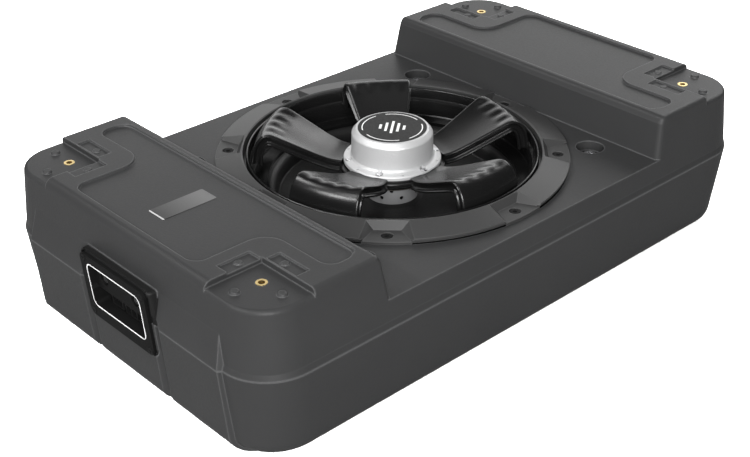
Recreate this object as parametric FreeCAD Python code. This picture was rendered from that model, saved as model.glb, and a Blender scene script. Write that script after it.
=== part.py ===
"""Powered car subwoofer: a low sealed enclosure in two moulded shells, with an inverted woofer whose
motor faces out of the deck between two end blocks, and an amplifier inside one end.

Frame: +Z up from the flat base face, X along the length with the amplifier's faceplate at -X,
Y across. The origin is the centre of the base face, below the woofer's axis. Millimetres."""
import FreeCAD, Part
import math
import os

V = FreeCAD.Vector

# ---- driving dimensions -------------------------------------------------------------------------
# enclosure heights above the base
RIDGE_Z = 72.5
LEDGE_Z = 77.5
DECK_Z = 94.6
NOTCH_Z = 126.0
BLOCK_Z = 131.0
# enclosure outlines: half length, half width, corner radius
RIDGE = (277.0, 166.3, 42.0)
LEDGE = (275.0, 163.8, 38.0)
TOP = (271.0, 158.5, 34.0)
BASE_DRAFT = math.radians(4.8)
BASE_FILLET = 14.0
WALL = 4.5
PANEL_X = 280.0
PANEL_TOP_X = 266.9
PANEL_HALF_W = 122.0
PANEL_SIDE = 6.0
GROOVE_Y = 46.5
GROOVE_R = 7.5
GROOVE_DEPTH = 2.2
GROOVE_RISE = 66.0
# end blocks
BLOCK_INNER_X = 161.0
BLOCK_TAPER = 7.5
RECESS_DEPTH = 2.2
RECESS_BEND_X = 196.0
RECESS_NARROW_Y = 78.0
SLOT_DEPTH = 1.7
NOTCH_X = 221.0
NOTCH_Y = 102.0
INSERT_X = 237.3
INSERT_Y = 122.0
INSERT_R = 4.3
INSERT_BORE_R = 2.5
INSERT_LEN = 14.0
# woofer stations
RING_R = 150.0
RING_INNER_R = 126.5
RING_Z = 99.3
RING_CREST = 4.6
RING_BOTTOM = 94.8
RING_POCKET_Z = 97.3
SCREW_SEAT_Z = 95.4
STATIONS = 8
STATION_R = 140.0
WELL_X = 133.0
WELL_Y = 106.0
WELL_R = 12.0
WELL_DEPTH = 9.0
# basket
RIM_R = 124.0
SPOKES = 5
SPOKE_PHASE = 54.0
HUB_R = 44.0
HUB_Z = 89.8
LEDGE_RING_Z = 74.0
# motor and moving parts
POT_R = 34.7
FLANGE_R = 41.5
FLANGE_Z = 91.3
MOTOR_TOP_Z = 120.8
COIL_R = 21.6
FORMER_TOP = 107.0
FORMER_BOTTOM = 53.5
CONE_R = 96.0
CONE_Z = 62.0
# amplifier faceplate
PLATE_HALF_W = 42.0
PLATE_HALF_H = 28.7
PLATE_T = 2.5
PLATE_CENTRE = V(-279.95, -2.0, 71.8)
POCKET_HALF_W = 33.0
POCKET_LOW = -17.0
POCKET_STEP = -1.5
POCKET_HIGH = 20.0
POCKET_DEPTH = 14.0
KNOB_Y = 20.0
KNOB_W = 9.0
KNOB_SHAFT_R = 3.0
RUN_CLEARANCE = 0.05


# ---- helpers ------------------------------------------------------------------------------------
def outline(half_x, half_y, radius, z):
    """Closed rounded rectangle centred on the Z axis."""
    x, y, r = half_x, half_y, radius
    corners = [(x - r, y - r, 0), (r - x, y - r, 90), (r - x, r - y, 180), (x - r, r - y, 270)]
    edges = []
    last = None
    first = None
    for cx, cy, start in corners:
        a0 = math.radians(start)
        a1 = math.radians(start + 45)
        a2 = math.radians(start + 90)
        p0, p1, p2 = [V(cx + r * math.cos(a), cy + r * math.sin(a), z) for a in (a0, a1, a2)]
        if last is not None:
            edges.append(Part.LineSegment(last, p0).toShape())
        else:
            first = p0
        edges.append(Part.Arc(p0, p1, p2).toShape())
        last = p2
    edges.append(Part.LineSegment(last, first).toShape())
    return Part.Wire(edges)


def loft(*wires):
    solid = Part.makeLoft(list(wires), True, True)
    if solid.Volume < 0:
        solid.reverse()
    return solid


def polygon(points):
    return Part.makePolygon([V(*p) for p in points] + [V(*points[0])])


def prism(points, direction):
    return Part.Face(polygon(points)).extrude(V(*direction))


def box(x0, x1, y0, y1, z0, z1):
    return Part.makeBox(x1 - x0, y1 - y0, z1 - z0, V(x0, y0, z0))


def cyl(r, z0, z1, x=0.0, y=0.0):
    return Part.makeCylinder(r, z1 - z0, V(x, y, z0))


def tube(r_out, r_in, z0, z1, x=0.0, y=0.0):
    return cyl(r_out, z0, z1, x, y).cut(cyl(r_in, z0 - 1, z1 + 1, x, y))


def revolve(profile):
    """Full turn about Z of a closed profile given as (radius, z) points."""
    face = Part.Face(polygon([(r, 0, z) for r, z in profile]))
    return face.revolve(V(0, 0, 0), V(0, 0, 1), 360)


def polar(r, angle, z=0.0):
    a = math.radians(angle)
    return V(r * math.cos(a), r * math.sin(a), z)


def spun(shape, angle):
    turned = shape.copy()
    turned.rotate(V(0, 0, 0), V(0, 0, 1), angle)
    return turned


def ring_of(shape, count, start=0.0):
    return [spun(shape, start + 360.0 * k / count) for k in range(count)]


def fused(first, *others):
    body = first.fuse(list(others))
    return body.removeSplitter()


def mirrored_xy(shape):
    """The shape and its three mirror images about the XZ and YZ planes."""
    over_x = shape.mirror(V(0, 0, 0), V(1, 0, 0))
    over_y = shape.mirror(V(0, 0, 0), V(0, 1, 0))
    both = over_x.mirror(V(0, 0, 0), V(0, 1, 0))
    return [shape, over_x, over_y, both]


def rounded(shape, radius, wanted):
    edges = [e for e in shape.Edges if wanted(e)]
    return shape.makeFillet(radius, edges)


def flat_at(z):
    return lambda e: e.BoundBox.ZMin > z - 0.01 and e.BoundBox.ZMax < z + 0.01


def export(name, shape):
    parts = shape if isinstance(shape, list) else [shape]
    solids = [s for p in parts for s in p.Solids]
    out = solids[0] if len(solids) == 1 else Part.makeCompound(solids)
    out.exportStep("parts/" + name + ".step")


# the faceplate's own frame: +X outward, +Z up the plate, tilted with the lower end wall
PLATE_ROTATION = FreeCAD.Rotation(
    V(-math.cos(BASE_DRAFT), 0, -math.sin(BASE_DRAFT)),
    V(0, -1, 0),
    V(-math.sin(BASE_DRAFT), 0, math.cos(BASE_DRAFT)),
    "XZY",
)
PLATE_FRAME = FreeCAD.Placement(PLATE_CENTRE, PLATE_ROTATION)


def on_plate(shape):
    placed = shape.copy()
    placed.Placement = PLATE_FRAME.multiply(placed.Placement)
    return placed


def plate_box(x0, x1, half_w, z0, z1, radius):
    """Rounded slab in the faceplate's frame, from depth x0 to x1."""
    slab = box(x0, x1, -half_w, half_w, z0, z1)
    return rounded(slab, radius, lambda e: e.BoundBox.XLength > (x1 - x0) - 0.01)


def plate_cyl(r, x0, x1, y, z):
    return Part.makeCylinder(r, x1 - x0, V(x0, y, z), V(1, 0, 0))


# ---- enclosure ----------------------------------------------------------------------------------
def shrunk(size, by, z, corner=None):
    x, y, r = size
    return outline(x - by, y - by, corner or max(r - by, 8.0), z)


def between(low, high, low_z, high_z, z):
    t = (z - low_z) / (high_z - low_z)
    return tuple(a + (b - a) * t for a, b in zip(low, high))


def block_slab(x0, x1, y0, y1):
    """Part of a block above the notch floor, its outer faces in the drafted wall planes."""
    low_z = 104.0
    low = between(LEDGE, TOP, LEDGE_Z, BLOCK_Z, low_z)
    grow_x = low[0] - TOP[0] if x1 >= TOP[0] else 0.0
    grow_y = low[1] - TOP[1] if y1 >= TOP[1] else 0.0
    bottom = [(x0, -y1 - grow_y), (x1 + grow_x, -y1 - grow_y), (x1 + grow_x, y1 + grow_y), (x0, y1 + grow_y)]
    top = [(x0, -y1), (x1, -y1), (x1, y1), (x0, y1)]
    return loft(polygon([(x, y, low_z) for x, y in bottom]), polygon([(x, y, BLOCK_Z) for x, y in top]))


def at_bend(edge):
    return abs(edge.BoundBox.XMin - RECESS_BEND_X) < 0.1 and abs(abs(edge.BoundBox.YMin) - RECESS_NARROW_Y) < 0.1


def block_recess():
    """Shallow panel in a block's top: wide beside the woofer, narrow between the corner notches."""
    x0, x1, x2 = 169.0, RECESS_BEND_X, 261.0
    y1, y2 = RECESS_NARROW_Y, 145.0
    pts = [(x0, -y2), (x1, -y2), (x1, -y1), (x2, -y1), (x2, y1), (x1, y1), (x1, y2), (x0, y2)]
    slab = prism([(x, y, BLOCK_Z - RECESS_DEPTH) for x, y in pts], (0, 0, 10))
    slab = rounded(slab, 11.0, lambda e: e.BoundBox.ZLength > 5 and not at_bend(e))
    slab = rounded(slab, 19.0, lambda e: e.BoundBox.ZLength > 5 and at_bend(e))
    slab = rounded(slab, 1.2, flat_at(BLOCK_Z - RECESS_DEPTH))
    # narrow shelf along the side that faces the woofer
    shelf = box(167.0, 176.0, -142.0, 142.0, BLOCK_Z - 1.1, BLOCK_Z + 7)
    shelf = rounded(shelf, 6.0, lambda e: e.BoundBox.ZLength > 5 and e.BoundBox.XMin < 168)
    return slab.fuse(shelf)


def end_panel(z0, z1, x_low, x_high, half_low, half_high):
    """Proud panel on the +X end wall: a drafted slab with sloping sides."""
    root = 255.0

    def section(x, half, z):
        slope = (x - root) * PANEL_SIDE / 8.0
        return polygon([(root, -half - slope, z), (x, -half, z), (x, half, z), (root, half + slope, z)])

    return loft(section(x_low, half_low, z0), section(x_high, half_high, z1))


def upper_outer():
    body = loft(outline(*RIDGE, RIDGE_Z), outline(*LEDGE, LEDGE_Z))
    low_top = between(LEDGE, TOP, LEDGE_Z, BLOCK_Z, NOTCH_Z)
    main = loft(outline(*LEDGE, LEDGE_Z), outline(*low_top, NOTCH_Z))
    main = rounded(main, 3.4, flat_at(NOTCH_Z))
    mid = block_slab(150.0, TOP[0], 0, NOTCH_Y)
    mid = rounded(mid, 7.5, lambda e: flat_at(BLOCK_Z)(e) and e.BoundBox.XMin > TOP[0] - 0.1)
    wide = block_slab(150.0, NOTCH_X, 0, TOP[1])
    wide = rounded(wide, 4.0, lambda e: flat_at(BLOCK_Z)(e) and e.BoundBox.YLength < 0.1)
    panel = end_panel(RIDGE_Z, NOTCH_Z, PANEL_X, PANEL_TOP_X, PANEL_HALF_W, 116.0)
    half = [mid, wide, panel]
    other = [s.mirror(V(0, 0, 0), V(1, 0, 0)) for s in half]
    return fused(body, main, *half, *other)


def deck_trough(x_base, x_mid, x_top, z_base, z_mid, z_top, half_y):
    pts = [(-x_base, z_base), (-x_mid, z_mid), (-x_top, z_top), (-x_top, z_top + 20)]
    pts += [(-x, z) for x, z in reversed(pts)]
    return prism([(x, -half_y, z) for x, z in pts], (0, 2 * half_y, 0))


def cup_boss():
    """Wedge on the -X wall that carries the faceplate above the ridge."""
    top_z = 100.3

    def section(z, root_half):
        x = -PANEL_X - (z - RIDGE_Z) * math.tan(BASE_DRAFT)
        half = PLATE_HALF_W + 2.2
        corners = [(-262, -root_half), (x, -half), (x, half), (-262, root_half)]
        return polygon([(cx, cy + PLATE_CENTRE.y, z) for cx, cy in corners])

    boss = loft(section(RIDGE_Z, 52.0), section(top_z, 46.5))
    boss = rounded(boss, 5.0, lambda e: e.BoundBox.ZLength > 20 and e.BoundBox.XMin < -278)
    return rounded(boss, 2.0, lambda e: flat_at(top_z)(e) and e.BoundBox.XMax < -263)


def plate_window():
    """Opening for the amplifier module, and the shallow seat of its faceplate."""
    seat = plate_box(-1.0, 30, PLATE_HALF_W + 1.3, -PLATE_HALF_H - 1.3, PLATE_HALF_H + 1.3, 7.0)
    moat = plate_box(-3.0, 30, PLATE_HALF_W + 1.3, -PLATE_HALF_H - 1.3, PLATE_HALF_H + 1.3, 7.0)
    island = plate_box(-4.0, -1.0, PLATE_HALF_W - 1.0, -PLATE_HALF_H + 1.0, PLATE_HALF_H - 1.0, 5.0)
    hole = box(-30, 5, -POCKET_HALF_W - 2.6, POCKET_HALF_W + 2.6, -22.0, 22.6)
    return on_plate(fused(seat, moat.cut(island), hole))


def faceplate_screw_spots():
    return [(y, w) for y in (-37.5, 37.5) for w in (-24.5, 24.5)]


def upright_block_corner(edge):
    b = edge.BoundBox
    return b.ZMin > DECK_Z - 0.1 and b.ZLength > 3 and b.XLength < 9 and b.YLength < 6 and (
        BLOCK_INNER_X - 9 < min(abs(b.XMin), abs(b.XMax)) < BLOCK_INNER_X + 2)


def baffle_shell():
    shell = upper_outer()
    # deck between the two end blocks
    base_x = BLOCK_INNER_X - BLOCK_TAPER
    trough = deck_trough(base_x, BLOCK_INNER_X - 2.5, BLOCK_INNER_X + 0.8, DECK_Z, 125.5, BLOCK_Z + 0.1, 200)
    shell = shell.cut(trough)
    shell = rounded(shell, 5.0, upright_block_corner)
    shell = shell.fuse(cup_boss())
    # hollow inside, closed by the deck and the two sloping block walls
    inner_low = shrunk(LEDGE, WALL, RIDGE_Z - 1)
    inner_mid = shrunk(LEDGE, WALL, LEDGE_Z)
    inner_top = shrunk(TOP, WALL, NOTCH_Z - WALL)
    hollow = loft(inner_low, inner_mid).fuse(loft(inner_mid, inner_top))
    core_x = (base_x + WALL + 1.0, BLOCK_INNER_X + 2.5, BLOCK_INNER_X + 5.0)
    core = deck_trough(*core_x, DECK_Z - 6.0, 121.0, 128.0, 300)
    shell = shell.cut(hollow.cut(core))
    # top details: recesses, small pockets beside the notches, moulded nubs
    cuts = []
    recess = block_recess()
    cuts += [recess, recess.mirror(V(0, 0, 0), V(1, 0, 0))]
    pocket_z = BLOCK_Z - SLOT_DEPTH
    pockets = box(222.5, 251.0, 90.0, NOTCH_Y + 3.0, pocket_z, BLOCK_Z + 1)
    pockets_b = box(208.0, 219.5, 106.0, 138.0, pocket_z, BLOCK_Z + 1)
    cuts += mirrored_xy(pockets) + mirrored_xy(pockets_b)
    shell = shell.cut(cuts)
    nubs = []
    for x, y in ((236.5, 95.5), (213.7, 118.5)):
        nubs += mirrored_xy(dome_nub(x, y, pocket_z, 3.4, 1.2))
    for x, y in ((258.5, 119.6), (236.7, 143.6)):
        nubs += mirrored_xy(dome_nub(x, y, NOTCH_Z, 3.9, 2.0))
    # insert bosses, ring-screw bosses, reinforced woofer seat, screw wells
    adds = mirrored_xy(cyl(9.0, 96.0, NOTCH_Z - 1, INSERT_X, INSERT_Y))
    adds.append(tube(151.0, RIM_R + 1.2, DECK_Z - 12.0, DECK_Z - 1))
    adds += mirrored_xy(cyl(WELL_R + 3.0, RIDGE_Z, DECK_Z - 1, WELL_X, WELL_Y))
    shell = shell.fuse(nubs)
    for boss in adds:
        shell = shell.fuse(boss)
    holes = [cyl(RIM_R + 1.2, 60, 140), cyl(RING_R - 0.7, DECK_Z - 5.6, 140)]
    holes += mirrored_xy(cyl(INSERT_R, NOTCH_Z - INSERT_LEN, NOTCH_Z + 1, INSERT_X, INSERT_Y))
    holes += mirrored_xy(cyl(WELL_R, DECK_Z - WELL_DEPTH, DECK_Z + 1, WELL_X, WELL_Y))
    holes += mirrored_xy(cyl(2.9, RIDGE_Z - 1, DECK_Z, WELL_X, WELL_Y))
    pilot = cyl(2.0, DECK_Z - 11.0, DECK_Z, STATION_R, 0)
    holes += ring_of(pilot, STATIONS)
    holes.append(plate_window())
    holes += cup_grooves()
    for y, w in faceplate_screw_spots():
        holes.append(on_plate(plate_cyl(1.5, -9.0, 0, y, w)))
    shell = shell.cut(holes)
    return biggest(shell)


def biggest(shape):
    return max(shape.Solids, key=lambda s: s.Volume)


def dome_nub(x, y, z, radius, height):
    nub = Part.makeCone(radius, radius * 0.84, height + 0.2, V(x, y, z - 0.2))
    return rounded(nub, height * 0.5, flat_at(z + height))


def base_size_at(z):
    drop = (RIDGE_Z - z) * math.tan(BASE_DRAFT)
    return (RIDGE[0] - drop, RIDGE[1] - drop, RIDGE[2])


def base_outer():
    main = loft(outline(*base_size_at(0), 0), outline(*RIDGE, RIDGE_Z))
    main = rounded(main, BASE_FILLET, flat_at(0))
    drop = RIDGE_Z * math.tan(BASE_DRAFT)
    panel = end_panel(0, RIDGE_Z, PANEL_X - drop, PANEL_X, PANEL_HALF_W + 2.0, PANEL_HALF_W)
    panel = rounded(panel, BASE_FILLET, lambda e: flat_at(0)(e) and e.BoundBox.XMin > 262)
    other = panel.mirror(V(0, 0, 0), V(1, 0, 0))
    return fused(main, panel, other)


def cup_grooves():
    """Two soft scoops beside the faceplate, down the wall and round the bottom edge."""
    out = V(-math.cos(BASE_DRAFT), 0, -math.sin(BASE_DRAFT))
    up = V(-math.sin(BASE_DRAFT), 0, math.cos(BASE_DRAFT))
    bend_x = -PANEL_X + (RIDGE_Z - BASE_FILLET) * math.tan(BASE_DRAFT) + BASE_FILLET / math.cos(BASE_DRAFT)
    scoops = []
    for side in (-1, 1):
        bend = V(bend_x, PLATE_CENTRE.y + side * GROOVE_Y, BASE_FILLET)
        start = bend + out * (BASE_FILLET + GROOVE_R - GROOVE_DEPTH)
        disc = Part.Face(Part.Wire(Part.makeCircle(GROOVE_R, start, up)))
        round_bottom = disc.revolve(bend, V(0, -1, 0), 85)
        round_top = Part.makeSphere(GROOVE_R, start + up * GROOVE_RISE)
        scoops += [disc.extrude(up * GROOVE_RISE), round_bottom, round_top]
    return scoops


def gasket_band(inset, width, z0, z1):
    outer = Part.Face(shrunk(RIDGE, inset, z0)).extrude(V(0, 0, z1 - z0))
    inner = Part.Face(shrunk(RIDGE, inset + width, z0 - 1)).extrude(V(0, 0, z1 - z0 + 2))
    return outer.cut(inner)


def base_shell():
    shell = base_outer()
    low = base_size_at(WALL)
    hollow = loft(shrunk(low, WALL + 6, WALL), shrunk(base_size_at(20), WALL, 20))
    hollow = hollow.fuse(loft(shrunk(base_size_at(20), WALL, 20), shrunk(base_size_at(62), WALL, 62)))
    hollow = hollow.fuse(loft(shrunk(base_size_at(62), WALL, 62), shrunk(RIDGE, 10.0, RIDGE_Z + 1)))
    shell = shell.cut(hollow)
    posts = mirrored_xy(cyl(9.0, WALL - 1, RIDGE_Z, WELL_X, WELL_Y))
    ribs = [box(-205, 205, y - 1.25, y + 1.25, WALL - 1, 9.5) for y in (-134.0, 134.0)]
    ribs += [box(x - 1.25, x + 1.25, -140, 140, WALL - 1, 9.5) for x in (-160.0, 160.0)]
    plate_bosses = [on_plate(plate_cyl(4.2, -12.0, -5.0, y, w)) for y, w in faceplate_screw_spots() if w < 0]
    shell = shell.fuse(posts + ribs + amp_bosses() + plate_bosses)
    cuts = mirrored_xy(cyl(2.1, RIDGE_Z - 26, RIDGE_Z + 1, WELL_X, WELL_Y))
    cuts += cup_grooves()
    cuts.append(gasket_band(4.0, 2.6, RIDGE_Z - 1.8, RIDGE_Z + 1))
    cuts.append(plate_window())
    for y, w in faceplate_screw_spots():
        cuts.append(on_plate(plate_cyl(1.5, -9.5, 0, y, w)))
    for x, y in AMP_SPOTS:
        cuts.append(cyl(1.5, 12.0, AMP_TRAY_Z + 1, x, y))
    return biggest(shell.cut(cuts))


def shell_gasket():
    cord = gasket_band(4.1, 2.4, RIDGE_Z - 1.8, RIDGE_Z)
    return cord.cut(on_plate(box(-40, 20, -47.0, 47.0, -40, 40)))


def shell_screws():
    screw = fused(cyl(5.6, DECK_Z - WELL_DEPTH, DECK_Z - WELL_DEPTH + 3.4, WELL_X, WELL_Y),
                  cyl(2.1, RIDGE_Z - 22, DECK_Z - WELL_DEPTH, WELL_X, WELL_Y))
    top = DECK_Z - WELL_DEPTH + 3.4
    screw = rounded(screw, 1.4, lambda e: flat_at(top)(e))
    return mirrored_xy(screw.cut(hex_socket(WELL_X, WELL_Y, 2.6, top, 2.0)))


def hex_socket(x, y, radius, top, depth):
    corners = [(x + radius * math.cos(k * math.pi / 3), y + radius * math.sin(k * math.pi / 3)) for k in range(6)]
    return prism([(cx, cy, top - depth) for cx, cy in corners], (0, 0, depth + 1.0))


def mount_inserts():
    body = tube(INSERT_R, INSERT_BORE_R, NOTCH_Z - INSERT_LEN, NOTCH_Z + 0.3, INSERT_X, INSERT_Y)
    return mirrored_xy(body)


def rating_plate():
    plate = box(-239.0, -190.0, -9.5, 9.5, BLOCK_Z - RECESS_DEPTH, BLOCK_Z - RECESS_DEPTH + 0.3)
    return rounded(plate, 1.5, lambda e: e.BoundBox.ZLength > 0.2)


# ---- woofer -------------------------------------------------------------------------------------
def trim_ring():
    crest = RING_Z + RING_CREST
    ring = revolve([
        (RING_INNER_R, RING_BOTTOM), (147.5, RING_BOTTOM), (147.5, 97.8), (RING_R, 97.8), (RING_R, RING_Z),
        (149.4, RING_Z + 0.35), (RING_INNER_R + 1.2, crest), (RING_INNER_R, crest - 0.6),
    ])
    low = [(132.0, -10.6), (132.0, 10.6), (152.0, 21.0), (152.0, -21.0)]
    high = [(126.9, -17.8), (126.9, 17.8), (152.0, 27.5), (152.0, -27.5)]
    pocket_floor = polygon([(x, y, RING_POCKET_Z) for x, y in low])
    pocket_mouth = polygon([(x, y, crest + 1.0) for x, y in high])
    pocket = loft(pocket_floor, pocket_mouth)
    pad = prism([(x, y, RING_BOTTOM) for x, y in low], (0, 0, RING_POCKET_Z - RING_BOTTOM))
    pad = pad.common(cyl(RING_R, RING_BOTTOM, RING_POCKET_Z))
    ring = ring.cut(ring_of(pocket, STATIONS))
    ring = fused(ring, *ring_of(pad, STATIONS))
    holes = ring_of(cyl(4.9, SCREW_SEAT_Z, 110, STATION_R, 0), STATIONS)
    holes += ring_of(cyl(2.8, 90, 110, STATION_R, 0), STATIONS)
    return ring.cut(holes)


def ring_screws():
    top = SCREW_SEAT_Z + 1.4
    head = cyl(4.3, SCREW_SEAT_Z, top, STATION_R, 0)
    shank = cyl(1.95, DECK_Z - 10, SCREW_SEAT_Z, STATION_R, 0)
    screw = rounded(fused(head, shank), 0.7, flat_at(top))
    return ring_of(screw.cut(hex_socket(STATION_R, 0, 2.0, top, 1.0)), STATIONS)


def flange_gasket():
    ring = tube(147.5, RIM_R + 1.4, DECK_Z - 5.6, DECK_Z - 4.4)
    return ring.cut(ring_of(cyl(2.8, 80, 100, STATION_R, 0), STATIONS))


def spoke():
    """One broad spoke on +X: rises from the hub to a shoulder, then drops inside the rim."""
    top = [(42.0, 94.6), (50.0, 95.9), (101.0, 117.6), (107.0, 117.2), (112.5, 114.0), (116.5, 108.0)]
    top.append((119.0, 98.0))
    under = [(119.0, 90.0), (112.0, 90.0), (110.5, 100.0), (107.0, 107.5), (101.0, 109.6), (52.0, 88.5)]
    under += [(40.0, 86.3), (40.0, 89.5), (42.0, 89.5)]
    pts = [(x, z) for x, z in top + under]
    body = prism([(x, -50, z) for x, z in pts], (0, 100, 0))
    plan = prism([(30, -17.3, 80), (123, -31.4, 80), (123, 31.4, 80), (30, 17.3, 80)], (0, 0, 50))
    body = body.common(plan)
    scallops = [Part.makeCylinder(4.2, 24, V(88, y, 121.6), V(1, 0, -0.16)) for y in (-15.5, -5.2, 5.2, 15.5)]
    return body.cut(scallops)


def basket():
    wall = revolve([
        (106.0, LEDGE_RING_Z), (RIM_R, LEDGE_RING_Z), (RIM_R, 90.2), (147.5, 90.2), (147.5, RING_BOTTOM),
        (RIM_R, RING_BOTTOM), (RIM_R, 101.6), (RIM_R - 0.7, 102.3), (RIM_R - 1.8, 102.3), (RIM_R - 2.5, 101.6),
        (RIM_R - 2.5, 93.0), (RIM_R - 4.0, 92.0), (RIM_R - 5.6, 91.2), (RIM_R - 5.6, LEDGE_RING_Z + 3.0),
        (106.0, LEDGE_RING_Z + 3.0),
    ])
    hub = revolve([
        (26.0, 86.3), (34.0, 86.3), (34.0, 82.0), (39.5, 82.0), (40.5, 86.3), (HUB_R, 86.3), (HUB_R, HUB_Z),
        (26.0, HUB_Z),
    ])
    arms = [spun(spoke(), SPOKE_PHASE + 360.0 * k / SPOKES) for k in range(SPOKES)]
    frame = fused(wall, hub, *arms)
    holes = ring_of(cyl(2.8, 80, 100, STATION_R, 0), STATIONS)
    holes += ring_of(cyl(1.9, 80, 100, 37.8, 0), 6, 30.0)
    holes.append(feed_block())
    return frame.cut(holes)


LEAD_ANGLE = 198.0


def feed_block():
    block = box(112.0, 131.0, -10, 10, 78.0, 82.0)
    return spun(block, LEAD_ANGLE)


def woofer_terminals():
    """Moulded feed-through in the basket wall with two brass blades."""
    block = box(112.0, 131.0, -10, 10, 78.0, 82.0)
    tabs = [box(106.0, 112.0, y - 2, y + 2, 79.6, 80.4) for y in (-5, 5)]
    tabs += [box(131.0, 138.0, y - 2, y + 2, 79.6, 80.4) for y in (-5, 5)]
    return spun(fused(block, *tabs), LEAD_ANGLE)


def wire(points, radius):
    """Round wire along a polyline with rounded corners."""
    path = Part.BSplineCurve()
    path.interpolate([V(*p) for p in points])
    spine = Part.Wire([path.toShape()])
    start = V(*points[0])
    tangent = path.tangent(path.FirstParameter)[0]
    ring = Part.Wire([Part.Circle(start, tangent, radius).toShape()])
    return spine.makePipeShell([ring], True, False)


def lead_wires():
    made = []
    for y in (-5.0, 5.0):
        pts = [(105.5, y, 80.0), (90, y, 82.5), (66, y * 0.9, 83.5), (52, y * 0.8, 82.0), (40.2, y * 0.7, 80.6)]
        made.append(spun(wire(pts, 0.8), LEAD_ANGLE))
    return made


def motor_cup():
    z0, zt = FLANGE_Z, MOTOR_TOP_Z
    cup = revolve([
        (30.0, z0), (FLANGE_R, z0), (FLANGE_R, z0 + 2.6), (FLANGE_R - 0.8, z0 + 3.4), (38.2, z0 + 3.8),
        (36.0, z0 + 4.6), (POT_R + 0.2, z0 + 6.2), (POT_R - 0.3, zt - 4.6), (POT_R - 0.8, zt - 3.6),
        (31.0, zt - 0.4), (29.6, zt), (29.2, zt), (29.2, zt - 0.6), (0, zt - 0.6), (0, zt - 4.6), (30.0, zt - 4.6),
    ])
    dimples = ring_of(cyl(1.1, z0 + 2.4, z0 + 6, 39.2, 0), 6, 0.0)
    holes = ring_of(cyl(1.7, z0 - 1, z0 + 8, 37.8, 0), 6, 30.0)
    seats = ring_of(cyl(3.0, z0 + 3.0, z0 + 8, 37.8, 0), 6, 30.0)
    return cup.cut(dimples + holes + seats)


def motor_screws():
    screw = fused(cyl(2.7, FLANGE_Z + 3.0, FLANGE_Z + 4.4, 37.8, 0), cyl(1.6, 83.0, FLANGE_Z + 3.0, 37.8, 0))
    screw = rounded(screw, 0.5, flat_at(FLANGE_Z + 4.4))
    return ring_of(screw, 6, 30.0)


def isolation_plate():
    ring = tube(40.6, 27.0, HUB_Z, FLANGE_Z)
    return ring.cut(ring_of(cyl(1.9, 80, 100, 37.8, 0), 6, 30.0))


def gap_plate():
    return tube(30.0, 24.0, 96.0, 104.0)


def magnet():
    return cyl(20.2, 104.0, MOTOR_TOP_Z - 4.6)


def pole_plate():
    disc = cyl(20.6, 96.0, 104.0)
    return disc.cut(cyl(3.0, 95, 101))


def motor_badge():
    return cyl(29.0, MOTOR_TOP_Z - 0.6, MOTOR_TOP_Z + 0.1)


def coil_former():
    former = tube(COIL_R + 0.5, COIL_R, FORMER_BOTTOM, FORMER_TOP)
    vent = Part.makeCylinder(1.6, 60, V(-30, 0, 64.3), V(1, 0, 0))
    vents = [spun(vent, 22.5 + 45.0 * k) for k in range(4)]
    upper = Part.makeCylinder(1.6, 60, V(-30, 0, 71.3), V(1, 0, 0))
    vents += [spun(upper, 45.0 * k) for k in range(4)]
    return former.cut(vents)


def coil_winding():
    return tube(COIL_R + 1.5, COIL_R + 0.5, 94.0, 106.0)


def cone():
    inner = COIL_R + 0.5
    return revolve([
        (inner, 54.3), (inner + 3, 54.3), (CONE_R - 8, CONE_Z - 2.6), (CONE_R, CONE_Z - 2.0), (CONE_R, CONE_Z),
        (CONE_R - 8, CONE_Z), (inner + 4.4, 57.2), (inner, 58.6),
    ])


def dust_cap():
    pts = [(0, 49.4), (8, 50.0), (15, 51.6), (COIL_R - 0.6, 54.0), (COIL_R, 54.2), (COIL_R, 56.4),
           (COIL_R - 1.0, 56.4), (COIL_R - 1.2, 54.9), (14.6, 52.5), (8, 51.0), (0, 50.4)]
    return revolve(pts)


def surround():
    """Rubber roll from the basket's ledge down to the cone's edge."""
    return revolve([
        (119.0, 72.4), (119.0, 74.0), (106.0, 74.0), (102.0, 72.6), (99.2, 69.8), (97.8, 66.0), (97.4, 62.2),
        (90.0, 62.2), (90.0, 62.0), (96.0, 62.0), (96.0, 59.8), (98.6, 60.4), (99.2, 66.0), (100.4, 69.0),
        (102.8, 71.4), (106.4, 72.4),
    ])


def spider():
    """Cupped fabric disc: flat outer edge on the hub's landing ring, inner collar on the former."""
    inner = COIL_R + 0.5
    top = [(39.5, 82.0), (35.0, 82.0)]
    low = [(39.5, 81.2), (35.0, 81.2)]
    folds = 4
    for k in range(1, 2 * folds):
        t = k / (2.0 * folds)
        r = 35.0 - (35.0 - inner - 1.6) * t
        z = 82.0 - 5.0 * t + (0.9 if k % 2 == 0 else -0.9)
        top.append((r, z))
        low.append((r, z - 0.8))
    top += [(inner + 1.4, 77.6), (inner, 77.6)]
    low += [(inner + 1.4, 75.4), (inner, 75.4)]
    return revolve(top + list(reversed(low)))


# ---- amplifier ----------------------------------------------------------------------------------
AMP_TRAY_Z = 30.0
AMP_SPOTS = [(x, y) for x in (-255.0, -190.0) for y in (-62.0, 62.0)]
BOARD_Z = 44.0


def amp_bosses():
    return [cyl(5.0, WALL - 1, AMP_TRAY_Z, x, y) for x, y in AMP_SPOTS]


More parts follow.
